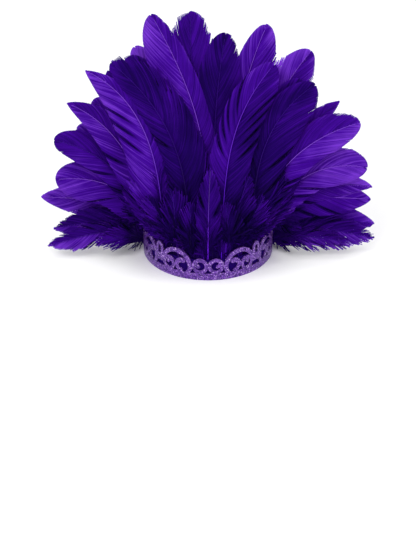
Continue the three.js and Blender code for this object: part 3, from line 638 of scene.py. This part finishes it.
def dyeAndLightGroup():
    group = bpy.data.node_groups.new("dyedAndLitBarbs", "ShaderNodeTree")
    sockets = group.interface
    sockets.new_socket("Pale", in_out="INPUT", socket_type="NodeSocketFloat")
    sockets.new_socket("Color", in_out="OUTPUT", socket_type="NodeSocketColor")
    sockets.new_socket("Roughness", in_out="OUTPUT", socket_type="NodeSocketFloat")
    nodes, links = group.nodes, group.links
    given = nodes.new("NodeGroupInput")
    out = nodes.new("NodeGroupOutput")
    uv = nodes.new("ShaderNodeUVMap")
    uv.uv_map = "barbs"
    stretch = nodes.new("ShaderNodeMapping")
    stretch.inputs["Scale"].default_value = dyeAndLightLook["streakScale"]
    streaks = nodes.new("ShaderNodeTexNoise")
    streaks.inputs["Scale"].default_value = 1
    streaks.inputs["Detail"].default_value = dyeAndLightLook["streakDetail"]
    patch = nodes.new("ShaderNodeTexNoise")
    patch.inputs["Scale"].default_value = dyeAndLightLook["patchScale"]
    patch.inputs["Detail"].default_value = dyeAndLightLook["patchDetail"]
    place = nodes.new("ShaderNodeTexCoord")
    tone = nodes.new("ShaderNodeAttribute")
    tone.attribute_name = "tone"
    links.new(uv.outputs["UV"], stretch.inputs["Vector"])
    links.new(stretch.outputs["Vector"], streaks.inputs["Vector"])
    links.new(place.outputs["Object"], patch.inputs["Vector"])

    def addTo(level, extra, weight):
        node = nodes.new("ShaderNodeMath")
        node.operation = "MULTIPLY_ADD"
        node.inputs[1].default_value = weight
        links.new(extra, node.inputs[0])
        links.new(level, node.inputs[2])
        return node.outputs[0]

    level = addTo(given.outputs["Pale"], streaks.outputs["Fac"], dyeAndLightLook["streaks"])
    level = addTo(level, tone.outputs["Fac"], dyeAndLightLook["tone"])
    level = addTo(level, patch.outputs["Fac"], dyeAndLightLook["patches"])
    spread = nodes.new("ShaderNodeMapRange")
    spread.inputs["From Min"].default_value = dyeAndLightLook["levels"][0]
    spread.inputs["From Max"].default_value = dyeAndLightLook["levels"][1]
    links.new(level, spread.inputs["Value"])
    links.new(ramp(nodes, links, spread.outputs["Result"], dyeAndLightLook["stops"]), out.inputs["Color"])
    rough = nodes.new("ShaderNodeMapRange")
    rough.inputs["To Min"].default_value = dyeAndLightLook["roughness"][0]
    rough.inputs["To Max"].default_value = dyeAndLightLook["roughness"][1]
    links.new(tone.outputs["Fac"], rough.inputs["Value"])
    links.new(rough.outputs["Result"], out.inputs["Roughness"])
    return group


def ramp(nodes, links, value, stops):
    node = nodes.new("ShaderNodeValToRGB")
    elements = node.color_ramp.elements
    elements[0].color = colour(*stops[0][1])
    elements[1].color = colour(*stops[-1][1])
    for at, shade in stops[1:-1]:
        elements.new(at).color = colour(*shade)
    links.new(value, node.inputs["Fac"])
    return node.outputs["Color"]


dyeAndLight = dyeAndLightGroup()

featherLook = {
    "sheen": 0.01, "sheenRoughness": 0.4, "sheenTint": (120, 60, 230), "shine": 0.02,
    "shades": 5,  # materials: one dye painted lit or in shade, from the feather most in painted shade to the most lit
}


def featherMaterial(name, pale):
    material, tree, shader = newMaterial(name)
    group = tree.nodes.new("ShaderNodeGroup")
    group.node_tree = dyeAndLight
    group.inputs["Pale"].default_value = pale
    tree.links.new(group.outputs["Color"], shader.inputs["Base Color"])
    tree.links.new(group.outputs["Roughness"], shader.inputs["Roughness"])
    shader.inputs["Sheen Weight"].default_value = featherLook["sheen"]
    shader.inputs["Sheen Roughness"].default_value = featherLook["sheenRoughness"]
    shader.inputs["Sheen Tint"].default_value = colour(*featherLook["sheenTint"])
    shader.inputs["Specular IOR Level"].default_value = featherLook["shine"]
    return material


# Copies of one vane material that differ only in painted light and painted shade
palest = featherLook["shades"] - 1
vaneMaterials = [featherMaterial(f"vane_{i}", i / palest) for i in range(palest + 1)]

# The shafts: their colour at the band and at the tip. 'lit' and 'dark' are one shaft, painted lit
# and painted in shade, and 'middle' is painted lit at the band
shaftLook = {
    "dark": ((16, 0, 56), (48, 8, 120)),
    "lit": ((70, 10, 164), (124, 66, 200)),
    "middle": ((96, 22, 204), (76, 44, 130)),
    "dyed": ((70, 6, 176), (98, 38, 190)),
    "roughness": 0.5,
    "shine": 0.06,
}


def shaftMaterial(kind):
    material, tree, shader = newMaterial(f"shaft_{kind}")
    tone = tree.nodes.new("ShaderNodeAttribute")
    tone.attribute_name = "tone"
    shade = ramp(tree.nodes, tree.links, tone.outputs["Fac"], list(enumerate(shaftLook[kind])))
    tree.links.new(shade, shader.inputs["Base Color"])
    shader.inputs["Roughness"].default_value = shaftLook["roughness"]
    shader.inputs["Specular IOR Level"].default_value = shaftLook["shine"]
    return material


shaftMaterials = {kind: shaftMaterial(kind) for kind in ("dark", "lit", "middle", "dyed")}
# Shafts painted lit; the others are painted in shade, or have a kind of their own
litShafts = [
    "left_side_2", "left_side_3", "left_side_5", "left_broad", "left_tall_2", "left_tall_3",
    "right_tall_1", "right_tall_2", "right_side_1", "right_side_2", "right_side_4",
]
ownShafts = {"middle_short": "middle", "right_rachis": "dyed"}

print("materials ready")

# How the vanes turn: below 0 the left one faces the light. The named feathers turn a known way.
turns = {"left": (-1.2, 0.2), "right": (-0.9, 0.7)}
turned = {
    "left_tall_3": -0.35, "left_broad": -0.5, "left_side_5": -0.4, "top_1": 0.1, "top_2": 0.2,
    "right_rachis": -0.45, "right_dark_2": 0.1, "middle_short": 0, "right_tall_1": -0.1,
}
firstSeed = 101
angles = rootAngles()
for number, row in enumerate(feathers):
    rng = np.random.default_rng(firstSeed + number)
    side = "left" if row["tipX"] < 0 else "right"
    row["turn"] = turned.get(row["name"], rng.uniform(*turns[side]))
    row["loose"] = max(0.0, min(1.0, row["down"] - 1))
    middle = middleLine(row, angles[row["name"]])
    parts = [
        vaneBarbs(row, middle, -1, rng),
        vaneBarbs(row, middle, 1, rng),
        downBarbs(row, middle, rng),
        shaftTube(row, middle),
    ]
    shade = vaneMaterials[round(row["pale"] * palest)]
    kind = "lit" if row["name"] in litShafts else ownShafts.get(row["name"], "dark")
    piece = addMesh(f"plume_{row['name']}", parts, [shade, shaftMaterials[kind]])
    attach(piece, "root")
    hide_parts(f"feather_{row['name']}")
print("feathers ready:", len(feathers))

# The band: coarse glitter that shines in flecks, partly from its metal and bump, partly from painted
# glints
glitter = {
    "grain": 1.15,  # millimetres, as the bump's height is
    # a random colour for each grain; the two palest stops are painted glints
    "stops": [
        (0.0, (42, 12, 90)), (0.35, (76, 30, 132)), (0.7, (104, 52, 162)), (0.9, (144, 96, 196)),
        (1.0, (196, 160, 230)),
    ],
    "bump": 0.6,
    "bumpHeight": 0.4,
    "metallic": 0.35,
    "roughness": 0.34,
}
felt = {
    "fibres": 900, "fibreDetail": 4, "roughness": 0.95, "shine": 0.05,
    "stops": [(0, (10, 0, 48)), (1, (34, 0, 108))],
}


def glitterMaterial():
    material, tree, shader = newMaterial("glitter")
    nodes, links = tree.nodes, tree.links
    place = nodes.new("ShaderNodeTexCoord")
    grains = nodes.new("ShaderNodeTexVoronoi")
    grains.inputs["Scale"].default_value = 1 / mm / glitter["grain"]
    links.new(place.outputs["Object"], grains.inputs["Vector"])
    chance = nodes.new("ShaderNodeSeparateColor")
    links.new(grains.outputs["Color"], chance.inputs["Color"])
    shade = ramp(nodes, links, chance.outputs["Red"], glitter["stops"])
    links.new(shade, shader.inputs["Base Color"])
    bump = nodes.new("ShaderNodeBump")
    bump.inputs["Strength"].default_value = glitter["bump"]
    bump.inputs["Distance"].default_value = glitter["bumpHeight"] * mm
    links.new(chance.outputs["Green"], bump.inputs["Height"])
    links.new(bump.outputs["Normal"], shader.inputs["Normal"])
    shader.inputs["Metallic"].default_value = glitter["metallic"]
    shader.inputs["Roughness"].default_value = glitter["roughness"]
    return material


def feltMaterial():
    material, tree, shader = newMaterial("felt")
    nodes, links = tree.nodes, tree.links
    place = nodes.new("ShaderNodeTexCoord")
    fibre = nodes.new("ShaderNodeTexNoise")
    fibre.inputs["Scale"].default_value = felt["fibres"]
    fibre.inputs["Detail"].default_value = felt["fibreDetail"]
    links.new(place.outputs["Object"], fibre.inputs["Vector"])
    shade = ramp(nodes, links, fibre.outputs["Fac"], felt["stops"])
    links.new(shade, shader.inputs["Base Color"])
    shader.inputs["Roughness"].default_value = felt["roughness"]
    shader.inputs["Specular IOR Level"].default_value = felt["shine"]
    return material


def dress(node, material):
    piece = bpy.data.objects[node]
    for slot in piece.material_slots:
        slot.material = material


dress("scroll_band", glitterMaterial())
dress("felt_strip", feltMaterial())
print("band ready")

# Stage
view = {
    "distance": 3.2,
    "elevation": 26,  # degrees above the rim's plane
    "frameHeight": 0.7215,  # metres that the picture's height takes in at the band
    "above": 0.0038,  # metres from the band's foot up to the picture's middle
    "sensor": 36,
    "floorSize": 6,
    "floorShade": 0.93,
    "floorRoughness": 0.9,
    "sky": 0.75,
    "lampsAim": (0, 0, 0.15),
}
front = Vector((0, -ring["depth"] / 2 * mm, 0))
tilt = math.radians(view["elevation"])
upward = Vector((0, math.sin(tilt), math.cos(tilt)))
towards = Vector((0, -math.cos(tilt), math.sin(tilt)))
target = front + upward * view["above"]
cameraData = bpy.data.cameras.new("camera")
cameraData.sensor_width = view["sensor"]
cameraData.lens = view["sensor"] * view["distance"] / view["frameHeight"]
camera = bpy.data.objects.new("camera", cameraData)
scene.collection.objects.link(camera)
camera.location = target + towards * view["distance"]
camera.rotation_euler = (math.pi / 2 - tilt, 0, 0)
scene.camera = camera

floorShape = bmesh.new()
bmesh.ops.create_grid(floorShape, x_segments=2, y_segments=2, size=view["floorSize"])
floorMesh = bpy.data.meshes.new("floor")
floorShape.to_mesh(floorMesh)
floorShape.free()
floor = bpy.data.objects.new("floor", floorMesh)
scene.collection.objects.link(floor)
floorMaterial, _, floorShader = newMaterial("floor")
floorShader.inputs["Base Color"].default_value = (view["floorShade"],) * 3 + (1,)
floorShader.inputs["Roughness"].default_value = view["floorRoughness"]
floorMesh.materials.append(floorMaterial)

world = bpy.data.worlds.new("studio")
world.use_nodes = True
sky = world.node_tree.nodes["Background"]
sky.inputs["Color"].default_value = (1, 1, 1, 1)
sky.inputs["Strength"].default_value = view["sky"]
scene.world = world

lamps = [
    # name, place in metres, size, watts
    ("key", (-1.3, -1.9, 2.2), 1.6, 37),
    ("fill", (1.8, -1.6, 1.4), 1.8, 18),
    ("top", (0.2, 0.6, 2.4), 1.4, 20),
]
for name, place, size, power in lamps:
    lampData = bpy.data.lights.new(name, "AREA")
    lampData.size = size
    lampData.energy = power
    lamp = bpy.data.objects.new(name, lampData)
    scene.collection.objects.link(lamp)
    lamp.location = place
    away = Vector(place) - Vector(view["lampsAim"])
    lamp.rotation_euler = away.to_track_quat("Z", "Y").to_euler()

scene.view_settings.view_transform = "Standard"

print("scene ready")
